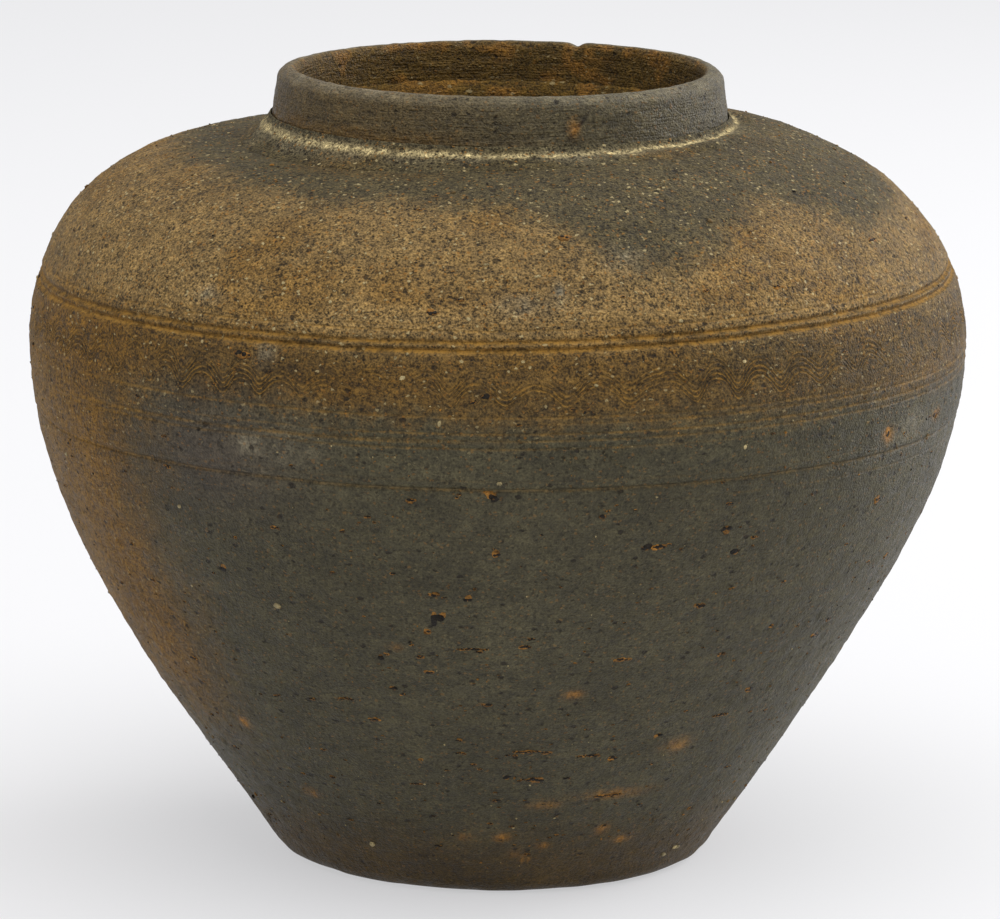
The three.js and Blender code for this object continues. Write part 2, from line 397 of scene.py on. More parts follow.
DUST_SPOTS = [
    # where pale dust lies, in the same five numbers
    (7.6, 208, 3, 6, 0.6), (3, 204, 16, 6, 0.35), (-30, 160.5, 7, 5, 0.45), (-38, 201.5, 8, 4, 0.4),
    (-25, 161, 22, 12, 0.2), (60, 158, 18, 8, 0.3), (17, 219, 12, 9, 0.3), (-28, 187, 6, 8, 0.35),
]


def tone_of(a, s):
    """The fired colour at each point, and how speckled it is, from 0 to 1."""
    rag = 2.4 * field(60, a, s, 60, 12) + 2.4 * field(61, a, s, 190, 4.5) + 2.6 * field(62, a, s, 480, 1.8)
    grit = rag + 2.2 * field(69, a, s, 900, 0.9)
    edge = np.interp(np.degrees(away(a, 0)), *np.array(SMOKE_EDGE).T)
    colour = np.broadcast_to(TONES["iron_grey"], s.shape + (3,)).copy()
    side = away(a, -92) / math.radians(46) + rag * 0.018
    umber = (1 - ease(np.abs(side), 0.72, 1.16)) * ease(s + rag * 2.5, 34, 88)
    colour = blend(colour, "umber", 0.92 * umber)
    colour = blend(colour, "ochre", 0.38 * umber * ease(-away(a, -50), 0, 0.6))
    back = (1 - ease(np.abs(away(a, 160)) / math.radians(38) + rag * 0.03, 0.8, 1.2)) * ease(s, 90, 120)
    colour = blend(colour, "umber", 0.5 * back)
    band = ease(s + grit * 0.8 + 4 * np.sin(a), 165, 179)
    colour = blend(colour, "umber", 0.66 * band * (0.75 + 0.4 * field(63, a, s, 22, 12)))
    colour = blend(colour, "ochre", 0.94 * ease(s + grit * 0.6, 187, 199))
    clouds = ease(field(64, a, s, 22, 16) + 0.4 * field(87, a, s, 80, 5), 0, 1)
    colour = blend(colour, "umber", 0.55 * clouds * ease(s, 190, 200))
    colour = blend(colour, "smoke", 0.94 * ease(s - edge + grit, -9, 8))
    colour = blend(colour, "umber", 0.3 * ease(s, 256, 268) * ease(field(65, a, s, 18, 9), -0.3, 0.7))
    colour = blend(colour, "violet_grey", 0.5 * bell(away(a, -36), 0.2) * bell(s - 156, 17) * (1 - umber))
    colour = blend(colour, "foot_brown", 0.75 * (1 - ease(s + rag, 4, 34)))
    for tone, spots in (("orange", OCHRE_SPOTS), ("dust", DUST_SPOTS)):
        ragged = 1 + 0.6 * field(93, a, s, 420, 2.0) + 0.4 * field(94, a, s, 900, 0.9)
        colour = blend(colour, tone, 1.2 * add_spots(np.zeros_like(s), a, s, spots) * ragged)
    mottle = 1 + 0.11 * field(88, a, s, 24, 20) + 0.09 * field(89, a, s, 84, 7)
    mottle = mottle + 0.06 * field(92, a, s, 300, 2.4)
    colour = colour * mottle[..., None]
    speckle = 0.12 + 0.88 * ease(s, 150, 195) + 0.4 * umber
    return colour, np.clip(speckle, 0, 1)


# %% [markdown]
# ## From functions to meshes
# A member is a closed ring: its section goes up the outside, over the seam, down the inside and
# back. The ring is one grid of points that wraps both ways, so it has no open edge and no pole.

# %% Mesh helpers
COLUMNS = 1200
SHARP_DEG = 62
ANGLES = np.linspace(0, TURN, COLUMNS, endpoint=False) - math.pi


def spin(a, r, z):
    """Points in metres: angle 0 faces the camera, at -Y, and a positive angle turns towards +X."""
    return np.stack([r * np.sin(a), -r * np.cos(a), z], axis=-1) * MM


def grid_mesh(name, points, colour, values, poles=False):
    """A mesh from a grid of rows and columns, with its tone and its other values at each point. The
    columns wrap round, and the rows wrap too, or end in a small disc at each pole."""
    rows, columns = points.shape[:2]
    i, j = np.meshgrid(np.arange(rows), np.arange(columns), indexing="ij")
    ahead, across = (i + 1) % rows, (j + 1) % columns
    corners = [(i, j), (i, across), (ahead, across), (ahead, j)]
    quads = np.stack([row * columns + column for row, column in corners], -1)
    quads = quads[:-1] if poles else quads
    mesh = bpy.data.meshes.new(name)
    mesh.vertices.add(rows * columns)
    mesh.vertices.foreach_set("co", points.reshape(-1).astype(np.float32))
    count = quads.shape[0] * quads.shape[1]
    mesh.loops.add(4 * count)
    mesh.loops.foreach_set("vertex_index", quads.reshape(-1).astype(np.int32))
    mesh.polygons.add(count)
    mesh.polygons.foreach_set("loop_start", np.arange(0, 4 * count, 4, dtype=np.int32))
    mesh.update(calc_edges=True)
    mesh.polygons.foreach_set("use_smooth", np.ones(count, bool))
    mesh.set_sharp_from_angle(angle=math.radians(SHARP_DEG))
    rgba = np.concatenate([colour, np.ones(colour.shape[:-1] + (1,))], -1)
    mesh.attributes.new("tone", "FLOAT_COLOR", "POINT").data.foreach_set("color", rgba.reshape(-1))
    for key, value in values.items():
        mesh.attributes.new(key, "FLOAT", "POINT").data.foreach_set("value", value.reshape(-1))
    if poles:
        cap = bmesh.new()
        cap.from_mesh(mesh)
        bmesh.ops.holes_fill(cap, edges=[edge for edge in cap.edges if edge.is_boundary], sides=0)
        bmesh.ops.recalc_face_normals(cap, faces=cap.faces)
        cap.to_mesh(mesh)
        cap.free()
    mesh.validate()
    piece = bpy.data.objects.new(name, mesh)
    bpy.context.collection.objects.link(piece)
    return piece


def dress(piece, node, material):
    """Rides the piece on the jar, in place of its solid, and gives it its finish."""
    piece.data.materials.append(material)
    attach(piece, "root")
    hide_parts(node)
    print(f"{piece.name}: {2 * len(piece.data.polygons)} triangles")


# %% [markdown]
# ## The clay itself
# Stoneware clay is a fine dark body full of sand. Under the eye it is matt, with a faint sheen
# where the rib closed the surface. The material takes the fired tone from the mesh and adds what
# is finer than the mesh: mottling, grains of sand in three colours, and a gritty bump.

# %% Material
def add_node(tree, kind, *inputs, out=0, **settings):
    """Adds a shader node and returns one of its outputs. The inputs are fed in order from values or
    from other outputs, None leaves one alone, and a setting is a named input or a property."""
    node = tree.nodes.new("ShaderNode" + kind)
    named = {key: value for key, value in settings.items() if key not in node.bl_rna.properties}
    for key, value in settings.items():
        if key not in named:
            setattr(node, key, value)
    for key, value in [*enumerate(inputs), *named.items()]:
        if isinstance(value, bpy.types.NodeSocket):
            tree.links.new(value, node.inputs[key])
        elif value is not None:
            node.inputs[key].default_value = value
    return node.outputs[out] if node.outputs else node


NOISES = {
    # grain in millimetres, detail, and how flat it lies
    "cloud": (12, 4.0, 2.2), "patch": (4.0, 3.0, 1.4), "streak": (9, 3.0, 14.0), "fine": (1.2, 2.0, 1.0),
    "dust": (0.6, 1.0, 1.0),
}
GRITS = [
    # tone, cell in millimetres, radius and rarity as shares, share where bare and where sandy, lift
    ("cream", 2.1, 0.30, 0.66, 0.08, 0.7, 0.35),
    ("orange", 1.6, 0.36, 0.52, 0.22, 0.6, 0.15),
    # The two dark kinds are dark grit in the clay. Where they sink into the bump they also stand in as
    # painted shade in small voids.
    ("dark_grit_and_shade", 1.5, 0.40, 0.46, 0.4, 0.58, -0.4),
    ("dark_grit_and_shade", 4.0, 0.24, 0.6, 0.85, 0.75, -1.1),
]


def stoneware(name, grain_mm=1.0, roughness=0.72, streaks=1.0, marked=False):
    """Unglazed gritty stoneware: fired tone, mottling, wheel streaks, sand, small voids darkened with
    painted shade, and bump, and on the body the lines and the combing, with painted shade between
    the comb's lines."""
    material = bpy.data.materials.new(name)
    material.use_nodes = True
    tree = material.node_tree
    tree.nodes.clear()
    add = functools.partial(add_node, tree)
    place = add("TexCoord", out="Object")
    tone = add("Attribute", attribute_name="tone", out="Color")
    speckle = add("Attribute", attribute_name="speckle", out="Fac")
    noise = {}
    for key, (size_mm, detail, flatness) in NOISES.items():
        squeezed = add("Mapping", place, Scale=(1.0, 1.0, flatness))
        noise[key] = add("TexNoise", squeezed, Scale=1 / (size_mm * MM), Detail=detail, Roughness=0.6)

    level = add("MapRange", noise["cloud"], 0.3, 0.7, 0.84, 1.16)
    for key, swing in (("patch", 0.25), ("streak", 0.1 * streaks)):
        swung = add("MapRange", noise[key], 0.3, 0.7, 1 - swing, 1 + swing)
        level = add("Math", level, swung, operation="MULTIPLY")
    ripple = add("MapRange", noise["fine"], 0.32, 0.68, -0.5, 0.5)
    ripple = add("Math", ripple, add("MapRange", noise["dust"], 0.3, 0.7, -0.42, 0.42), operation="ADD")
    amount = add("MapRange", speckle, 0.0, 1.0, 0.4, 1.0)
    ripple = add("Math", ripple, amount, 1.0, operation="MULTIPLY_ADD")
    level = add("Math", level, ripple, operation="MULTIPLY")
    colour = add("VectorMath", tone, Scale=level, operation="SCALE")
    height = add("Math", noise["fine"], 0.9, noise["dust"], operation="MULTIPLY_ADD")
    height = add("Math", noise["streak"], 0.6 * streaks, height, operation="MULTIPLY_ADD")
    height = add("Math", noise["patch"], 0.9, height, operation="MULTIPLY_ADD")

    def tint(under, hue, share):
        """Lays a tone over a colour by a share."""
        other_kinds = [None] * 5
        over = (*TONES[hue], 1.0)
        return add("Mix", share, *other_kinds, under, over, data_type="RGBA", out=2)

    shake = add("TexNoise", place, Scale=1 / (0.9 * MM), Detail=2.0, out="Color")
    shaken = add("VectorMath", shake, (0.0014, 0.0014, 0.0014), place, operation="MULTIPLY_ADD")
    for index, (hue, cell_mm, radius, rarity, bare, sandy, lift) in enumerate(GRITS):
        moved = add("Mapping", shaken, (0.37 * (index + 1), 0.26 * (index + 1), 0.0), Scale=(1.0, 1.0, 1.5))
        cells = tree.nodes.new("ShaderNodeTexVoronoi")
        cells.inputs["Scale"].default_value = 1 / (cell_mm * grain_mm * MM)
        tree.links.new(moved, cells.inputs["Vector"])
        chance = add("SeparateColor", cells.outputs["Color"], out=0)
        size = add("SeparateColor", cells.outputs["Color"], out=1)
        reach = add("MapRange", size, 0.0, 1.0, radius * 0.4, radius)
        disc = add("Math", reach, cells.outputs["Distance"], operation="SUBTRACT")
        disc = add("MapRange", disc, -0.04, 0.06, 0.0, 1.0)
        disc = add("Math", disc, add("Math", chance, rarity, operation="GREATER_THAN"), operation="MULTIPLY")
        share = add("Math", disc, add("MapRange", speckle, 0.1, 1.0, bare, sandy), operation="MULTIPLY")
        colour = tint(colour, hue, share)
        height = add("Math", disc, lift, height, operation="MULTIPLY_ADD")

    if marked:
        path = add("Attribute", attribute_name="path", out="Fac")
        path = add("Math", noise["fine"], 0.5, path, operation="MULTIPLY_ADD")
        level_place = add("VectorMath", place, (1.0, 1.0, 0.0), operation="MULTIPLY")
        facing = add("VectorMath", level_place, operation="NORMALIZE")
        rightness = add("SeparateXYZ", facing)
        cuts = 0.0
        for front, tilt, cut, width, centre, spread in LINES:
            line = add("Math", rightness, tilt, front, operation="MULTIPLY_ADD")
            gap = add("Math", add("Math", path, line, operation="SUBTRACT"), operation="ABSOLUTE")
            groove = add("MapRange", gap, 0.0, 1.6 * width, cut, 0.0, interpolation_type="SMOOTHSTEP")
            if spread != ALL_ROUND:
                middle = (math.sin(math.radians(centre)), -math.cos(math.radians(centre)), 0.0)
                turned = add("VectorMath", facing, middle, operation="DOT_PRODUCT", out="Value")
                shown = add("MapRange", turned, *fade_angles(spread), 0.0, 1.0)
                groove = add("Math", groove, shown, operation="MULTIPLY")
            cuts = add("Math", groove, cuts, operation="ADD")
        lift = add("Attribute", attribute_name="comb_lift", out="Fac")
        lift = add("Math", noise["fine"], 0.7, lift, operation="MULTIPLY_ADD")
        lift = add("Math", noise["patch"], 1.3, lift, operation="MULTIPLY_ADD")
        bite = add("Attribute", attribute_name="comb_bite", out="Fac")
        tooth = add("Math", lift, TOOTH_SPACING / 2, operation="PINGPONG")
        tooth = add("MapRange", tooth, 0.0, 0.5, 1.0, 0.0, interpolation_type="SMOOTHSTEP")
        comb = add("Math", tooth, bite, operation="MULTIPLY")
        cuts = add("Math", comb, 0.65, cuts, operation="MULTIPLY_ADD")
        # Painted shade: the strip between the comb's lines is darkened to stand in for the shadow the lines
        # cast.
        between = add("Math", 1.0, tooth, operation="SUBTRACT")
        between = add("Math", between, bite, operation="MULTIPLY")
        colour = tint(colour, "dark_grit_and_shade", add("Math", between, 0.34, operation="MULTIPLY"))
        film = add("Math", add("MapRange", noise["patch"], 0.35, 0.62, 0.2, 1.2), cuts, operation="MULTIPLY")
        film = add("Math", film, add("MapRange", noise["fine"], 0.38, 0.6, 0.5, 1.25), operation="MULTIPLY")
        sandy = add("MapRange", speckle, 0.1, 0.6, 0.35, 1.25)
        film = add("Math", film, sandy, operation="MULTIPLY", use_clamp=True)
        colour = tint(colour, "film", film)
        height = add("Math", cuts, -2.2, height, operation="MULTIPLY_ADD")

    normal = add("Bump", 0.85, 0.6 * MM, Height=height)
    closed = add("MapRange", speckle, 0.1, 0.8, -0.2, 0.0)
    rough = add("MapRange", noise["patch"], 0.3, 0.7, roughness - 0.12, roughness + 0.12)
    rough = add("Math", rough, closed, operation="ADD")
    glint = {"Specular IOR Level": 0.3}
    shader = add("BsdfPrincipled", colour, Roughness=rough, IOR=1.45, Normal=normal, **glint)
    add("OutputMaterial", shader)
    return material


# %% [markdown]
# ## The walls
# The lower wall, the girth band and the shoulder share one skin. Each is the part of the skin
# between two seams, and both seams run in the bottom of a groove, so that no joint shows.

# %% Wall courses
def rows_between(count, fine_at, gather):
    """Row places from 0 to 1, packed closer round the places in fine_at."""
    u = np.linspace(0, 1, 2001)
    density = np.ones_like(u) + sum(gather * bell(u - place, 0.035) for place in fine_at)
    share = np.concatenate([[0], np.cumsum((density[1:] + density[:-1]) / 2)])
    return np.interp(np.linspace(0, 1, count), share / share[-1], u)


INNER_ROWS = 8


def skin_values(a, s, speckle, inner_rows):
    """The skin's values for the material; the rows inside are speckled but have no lines."""
    outside = {
        "speckle": speckle, "path": s - waver(a),
        "comb_lift": comb_lift(a, s), "comb_bite": comb_bite(a, s),
    }
    inside = {"speckle": 0.6}
    return {key: np.concatenate([value, np.full((inner_rows, a.shape[1]), inside.get(key, 0.0))])
            for key, value in outside.items()}


COURSES = []


def skin_height(a, s):
    """Height of the finished skin above the ideal profile: read in its nearest column of points,
    by interpolation between the rows of the course that holds the place."""
    height = relief(a, s)
    column = np.round((a + math.pi) / TURN * COLUMNS).astype(int) % COLUMNS
    for low, high, u, h in COURSES:
        share = (s - low(a)) / (high(a) - low(a))
        here = (share >= 0) & (share <= 1)
        row = np.interp(share[here], u, np.arange(len(u)))
        below = np.minimum(row.astype(int), len(u) - 2)
        part = row - below
        height[here] = h[below, column[here]] * (1 - part) + h[below + 1, column[here]] * part
    return height


def wall_course(name, low, high, rows, fine_at=(), gather=2.0):
    """The ring of wall between two seams; low and high give each seam's path at an angle."""
    a = ANGLES[None, :]
    u = rows_between(rows, fine_at, gather)[:, None]
    s = low(a) + (high(a) - low(a)) * u
    a_out = np.broadcast_to(a, s.shape)
    r, z, slope = profile(s)
    h = relief(a_out, s)
    COURSES.append((low, high, u[:, 0], h))
    outer = spin(a_out, r + h * np.sin(slope), z - h * np.cos(slope))
    v = np.linspace(1, 0, INNER_ROWS)[:, None]
    s_in = low(a) + (high(a) - low(a)) * v
    a_in = np.broadcast_to(a, s_in.shape)
    r, z, slope = profile(s_in)
    depth = WALL + 0.35 * field(90, a_in, s_in, 9, 8)
    inner = spin(a_in, r - depth * np.sin(slope), z + depth * np.cos(slope))
    colour, speckle = tone_of(a_out, s)
    dark = np.broadcast_to(TONES["inside_brown"], a_in.shape + (3,))
    dark = blend(dark, "orange", 0.4 * ease(field(91, a_in, s_in, 30, 12), 0, 1))
    values = skin_values(a_out, s, speckle, INNER_ROWS)
    return grid_mesh(name, np.concatenate([outer, inner]), np.concatenate([colour, dark]), values)


# The body is grey stoneware full of sand. It gives the eye a dry, broken surface, with a dull sheen
# only where the rib pressed it close.
BODY_CLAY = stoneware("unglazed_stoneware_body", marked=True)
BASE_SEAM = path_at(BASE_TOP)


def base_line(a):
    """The level seam on top of the base slab."""
    return np.full_like(a, BASE_SEAM)


wall = wall_course("lower_wall_skin", base_line, single_line, 74)
dress(wall, "lower_wall", BODY_CLAY)
band = wall_course("girth_band_skin", single_line, double_line, 74, (1.0,), 2.0)
dress(band, "girth_band", BODY_CLAY)


# %% [markdown]
# The shoulder carries on past the skin's end, under the collar, to the edge of the mouth. Its
# section is therefore the skin, a level seat, the short wall of the mouth and the way back.

# %% Shoulder
MOUTH_RADIUS = 60.4


def neck_line(a):
    """The end of the skin, under the collar."""
    return np.full_like(a, PATH_END)


def shoulder_ring():
    """The dome's skin, the seat under the collar, the mouth's edge and the inner dome."""
    a = ANGLES[None, :]
    u = rows_between(66, (0.0, 0.035), 5.0)[:, None]
    low = double_line(a)
    s = low + (neck_line(a) - low) * u
    a_out = np.broadcast_to(a, s.shape)
    r, z, slope = profile(s)
    h = relief(a_out, s)
    COURSES.append((double_line, neck_line, u[:, 0], h))
    outer = spin(a_out, r + h * np.sin(slope), z - h * np.cos(slope))
    seat = spin(a, MOUTH_RADIUS + 0 * a, SHOULDER_TOP - 0.4 + 0 * a)
    edge = spin(a, MOUTH_RADIUS + 0.3 + 0 * a, SHOULDER_TOP - WALL + 0 * a)
    v = np.linspace(1, 0, INNER_ROWS)[:, None]
    s_in = low + (PATH_END - low) * v
    a_in = np.broadcast_to(a, s_in.shape)
    r, z, slope = profile(s_in)
    inner = spin(a_in, r - WALL * np.sin(slope), z + WALL * np.cos(slope))
    colour, speckle = tone_of(a_out, s)
    dark = np.broadcast_to(TONES["inside_brown"], (INNER_ROWS + 2, COLUMNS, 3))
    values = skin_values(a_out, s, speckle, INNER_ROWS + 2)
    points = np.concatenate([outer, seat, edge, inner])
    return grid_mesh("shoulder_skin", points, np.concatenate([colour, dark]), values)


dress(shoulder_ring(), "shoulder", BODY_CLAY)


# %% [markdown]
# ## Base, collar and fillets
# These are rings or a slab with a section of their own. A section is a short list of corners,
# rounded by walking a smooth curve through them, and each ring adds its own unevenness.

# %% Sections and rings
def rounded(points, step, closed=True, passes=3):
    """A section with its corners eased: points every `step` mm, then averaged with both
    neighbours a few times."""
    points = np.array(points, float)
    path = np.vstack([points, points[:1]]) if closed else points
    along = np.concatenate([[0], np.cumsum(np.hypot(*np.diff(path, axis=0).T))])
    marks = np.arange(0, along[-1], step)
    dense = np.column_stack([np.interp(marks, along, path[:, k]) for k in (0, 1)])
    for _ in range(passes):
        dense = (np.roll(dense, 1, 0) + 2 * dense + np.roll(dense, -1, 0)) / 4
    return dense


def ring(name, section, uneven, tone, poles=False):
    """A ring with a closed section: uneven and tone are functions of angle, radius and height."""
    a = np.broadcast_to(ANGLES[None, :], (len(section), COLUMNS))
    r = np.broadcast_to(section[:, :1], a.shape)
    z = np.broadcast_to(section[:, 1:], a.shape)
    dr, dz = uneven(a, r, z)
    colour, speckle = tone(a, r, z)
    return grid_mesh(name, spin(a, r + dr, z + dz), colour, {"speckle": speckle}, poles)


def rim_waver(a):
    """The rim's height above its mean: low on the left at the back, high on the right."""
    return 0.55 * np.sin(a + 0.5) * ease(np.abs(a), 1.2, 2.2) + 0.25 * field(70, a, a * 0, 9, 50) - 0.55


def collar_uneven(a, r, z):
    """Wheel rings and dents on the collar, and the waver of its rim."""
    share = ease(z, SHOULDER_TOP, RIM_HEIGHT)
    out = np.sign(r - 64.2)
    rough = 0.16 * field(71, a, z, 40, 3) + 0.09 * field(72, a, z, 230, 1.2)
    rough = rough + 0.05 * field(73, a, z, 500, 0.9)
    chip = -1.2 * bell(away(a, 158), 0.03) * ease(z, 233, 236)
    return out * rough, share * (rim_waver(a) + 0.12 * field(74, a, r, 150, 2)) + chip


def collar_tone(a, r, z):
    """Dark grey, browner low on the left, worn paler along the lip, brown and patchy inside."""
    colour = np.broadcast_to(TONES["neck_grey"], a.shape + (3,)).copy()
    low = 1 - ease(z + 2 * field(75, a, z, 60, 3), 219, 228)
    colour = blend(colour, "umber", (0.25 + 0.5 * low) * ease(-a, -0.5, 0.8))
    colour = blend(colour, "dust", 0.5 * ease(z, 233, 236) * (0.6 + 0.4 * field(76, a, z, 60, 4)))
    inside = ease(MOUTH_RADIUS + 1.6 - r, 0, 1)
    colour = blend(colour, "inside_brown", 0.9 * inside)
    patch = ease(field(77, a, z, 34, 5) + 0.5 * field(78, a, z, 110, 2), 0.25, 0.9)
    colour = blend(colour, "orange", 0.55 * inside * patch)
    # Painted shade: a dark line stands in for the shade in a crack that the mesh does not cut; the orange
    # beside it is a rust stain.
    crack = bell((away(a, 19.7) * 68 - 0.8 * (z - 228)) / 1.0, 0.7) * bell(z - 228, 4)
    colour = blend(colour, "dark_grit_and_shade", 1.2 * crack)
    colour = blend(colour, "orange", 0.7 * bell(away(a, 19.7) * 68 + 1.5, 1.6) * bell(z - 227.5, 2.5))
    return colour, 0.25 + 0.3 * inside


COLLAR_SECTION = rounded([
    (MOUTH_RADIUS, SHOULDER_TOP + 0.3), (68, SHOULDER_TOP + 0.3), (67.4, 224), (66.5, 231.5), (66.1, 234.2),
    (64.2, 236.2), (62.4, 236.75), (61.0, 236.5), (60.4, 235), (60.3, 229),
], 0.62)
# The collar is the same clay, wiped wet on the wheel: finer grit, a closer surface and level streaks
# that catch a low sheen.
COLLAR_CLAY = stoneware("unglazed_stoneware_collar", grain_mm=0.9, roughness=0.66, streaks=2.2)
collar = ring("neck_collar_skin", COLLAR_SECTION, collar_uneven, collar_tone)
dress(collar, "neck_collar", COLLAR_CLAY)


def dome_path(r):
    """Distance up the skin at a radius on the dome, which narrows as it rises."""
    return np.interp(-r, -DOME[:, 0], PATH[-len(DOME):])


def fillet_uneven(a, r, z):
    """The toe follows the shoulder's own relief, and the rest is pressed with small lumps."""
    s = dome_path(r)
    lump = 0.16 * field(80, a, z, 120, 4) + 0.1 * field(81, a, r, 380, 2)
    return 0.5 * lump, lump + relief(a, s) * ease(r, 68.6, 75)


def pressed(a, r, z):
    """Finger-pressed lumps."""
    lump = 0.35 * field(80, a, z, 120, 4) + 0.2 * field(81, a, r, 380, 2)
    return 0.5 * lump, lump


def slip_tone(a, r, z):
    """Pale slip, thin and broken, with brown showing through."""
    colour, speckle = tone_of(a, dome_path(r))
    line = bell(r - 70.3 - 0.4 * field(82, a, z, 90, 4), 0.8) * (0.75 + 0.5 * field(83, a, z, 200, 2))
    colour = blend(colour, "dust", 0.3 * bell(r - 71.2, 2.4) + 0.2 * field(86, a, z, 60, 3))
    colour = blend(colour, "cream", 1.1 * line)
    colour = blend(colour, "neck_grey", ease(z, 220.6, 221.8))
    return colour, speckle


FILLET_SECTION = rounded([
    (68.0, SHOULDER_TOP + 0.2), (68.0, 222.6), (68.9, 220.9), (70.6, 219.6),
    (73.2, 218.3), (76.8, 216.9), (76.8, 216.2),
], 0.45, passes=2)
# Slip is clay thinned with water. Dried and fired it is dusty and fully matt, with no sheen at all.
SLIP_CLAY = stoneware("dusty_slip", roughness=0.85)
fillet = ring("neck_fillet_skin", FILLET_SECTION, fillet_uneven, slip_tone)
dress(fillet, "neck_fillet", SLIP_CLAY)


def inner_tone(a, r, z):
    """Brown clay inside, with ochre patches where the film stayed."""
    colour = np.broadcast_to(TONES["inside_brown"], a.shape + (3,)).copy()
    colour = blend(colour, "orange", 0.5 * ease(field(84, a, z, 40, 5), 0.1, 0.8))
    return colour, np.full(a.shape, 0.6)


INNER_FILLET = rounded([(60.1, 211.2), (60.1, 224.4), (58.6, 222.4), (57.4, 218.5), (58.6, 213.6)], 0.8)
# Inside nobody smoothed the clay: its grit is coarser, it is rough, and it scatters the light evenly.
INNER_CLAY = stoneware("rough_stoneware_inside", grain_mm=1.5, roughness=0.8, streaks=2.0)
ledge = ring("inner_fillet_skin", INNER_FILLET, pressed, inner_tone)
dress(ledge, "inner_neck_fillet", INNER_CLAY)


def true_turned(a, r, z):
    """No unevenness, for the coil inside that is never seen."""
    return 0 * a, 0 * a


BASE_FILLET = rounded([(52.6, BASE_TOP + 0.3), (61.4, BASE_TOP + 0.3), (69.6, 22.0), (62.0, 13.5)], 1.2)
coil = ring("base_fillet_skin", BASE_FILLET, true_turned, inner_tone)
dress(coil, "base_fillet", INNER_CLAY)


# %% Base
def base_slab():
    """The slab: flat below, its edge rounded into the flank, closed by a small disc at each pole."""
    under = [(0.5, 0.0), (30, 0.0), (56, 0.0), (58.2, 0.0)]
    edge = cubic(np.array([59.5, 0.05]), np.array([3.5, 0.2]), np.array([-1.6, -2.2]), FOOT_EDGE, 9)
    flank = [CURVE[np.searchsorted(PATH, s)] for s in np.linspace(0.6, BASE_SEAM, 7)]
    top = [(62, BASE_TOP), (30, BASE_TOP), (0.5, BASE_TOP)]
    section = np.array([*under, *edge, *flank, *top], float)

    def uneven(a, r, z):
        """The skin's relief on the flank, and a worn, wavering edge below it."""
        s = np.interp(z, CURVE[:, 1], PATH)
        out = ease(r, 58, 62) * (z > 0.02)
        on_skin = (r > 62.5) * ease(z, 0.5, 6)
        h = relief(a, s) * on_skin
        slope = np.interp(s, PATH, SLOPE)
        worn = 0.5 * field(85, a, z, 60, 3) * out * (1 - on_skin)
        return h * np.sin(slope) + worn, -h * np.cos(slope) * (z > 1)

    def tone(a, r, z):
        """The skin's own colours, read at each height."""
        return tone_of(a, np.interp(z, CURVE[:, 1], PATH))

    return ring("base_disc_skin", section, uneven, tone, poles=True)


dress(base_slab(), "base_disc", BODY_CLAY)


# %% [markdown]
# ## Sand, pits and cracks
# The coarse sand stands a little proud of the skin. Where grit burnt out it left a pit with a
# rusty rim, and where it dragged it left a crack; the dark of each pit and crack is painted shade,
# a dark lump set in it. Each is a small uneven lump of twenty faces, half sunk in the skin or level
# with it, and a crack is a row of them. All of them are one mesh.

# %% Sand grains
def lump_shape():
    """The twelve corners and twenty faces of an icosahedron of radius one."""
    g = (1 + math.sqrt(5)) / 2
    corners = [(x, y, 0) for x in (-1, 1) for y in (-g, g)]
    corners = corners + [(0, x, y) for x, y, _ in corners[:4]] + [(y, 0, x) for x, y, _ in corners[:4]]
    corners = np.array(corners) / math.hypot(1, g)
    gaps = np.linalg.norm(corners[:, None] - corners[None], axis=-1)
    edge = gaps[gaps > 0.1].min() * 1.1
    faces = []
    for i in range(12):
        for j in range(i + 1, 12):
            for k in range(j + 1, 12):
                if max(gaps[i, j], gaps[j, k], gaps[i, k]) < edge:
                    out = np.dot(np.cross(corners[j] - corners[i], corners[k] - corners[i]), corners[i]) > 0
                    faces.append((i, j, k) if out else (i, k, j))
    return corners, np.array(faces)


GRAIN_TONES = ("cream", "orange", "ochre", "dark_grit_and_shade")
CREAM, ORANGE, OCHRE, DARK_GRIT_AND_SHADE = range(4)
SAND_SHARES = (0.3, 0.36, 0.22, 0.12)


def sand(seed, count, low, high, size):
    """Grains by chance over a zone: angle, path, three radii, height and tone of each."""
    rng = np.random.default_rng(seed)
    radius = np.minimum(size * (0.55 + rng.exponential(0.3, count)), 1.25)
    return np.column_stack([
        rng.uniform(-math.pi, math.pi, count), rng.uniform(low, high, count),
        radius * rng.uniform(0.6, 1.25, count), radius * rng.uniform(0.6, 1.25, count),
        0.6 * radius, 0.1 * radius, rng.choice(len(GRAIN_TONES), count, p=SAND_SHARES),
    ])


def rows_of_lumps(seed, marks, tone, widen, thick):
    """A level patch for each mark (angle in degrees, path, across, up): lumps set side by side
    along its width, each shifted and sized by chance."""
    rng = np.random.default_rng(seed)
    lumps = []
    for degrees, path, across, up in marks:
        count = max(1, round(1.6 * across / up))
        along = (np.arange(count) + 0.5) / count - 0.5 + rng.uniform(-0.3, 0.3, count) / count
        radius = float(np.interp(path, PATH, CURVE[:, 0]))
        size = widen * up / 2 * rng.uniform(0.6, 1.2, count) * (1.1 - np.abs(along))
        lumps.append(np.column_stack([
            math.radians(degrees) + along * across / radius, path + rng.uniform(-0.25, 0.25, count) * up,
            1.4 * size, size, np.full(count, thick), np.full(count, 0.0), np.full(count, tone),
        ]))
    return np.concatenate(lumps)


def pit_places(seed, count, low, high, size):
    """Places of small pits by chance, as marks: most are wider than they are tall."""
    rng = np.random.default_rng(seed)
    up = size * (0.5 + rng.exponential(0.4, count))
    return np.column_stack([rng.uniform(-180, 180, count), rng.uniform(low, high, count),
                            up * rng.uniform(1.0, 2.8, count), up])


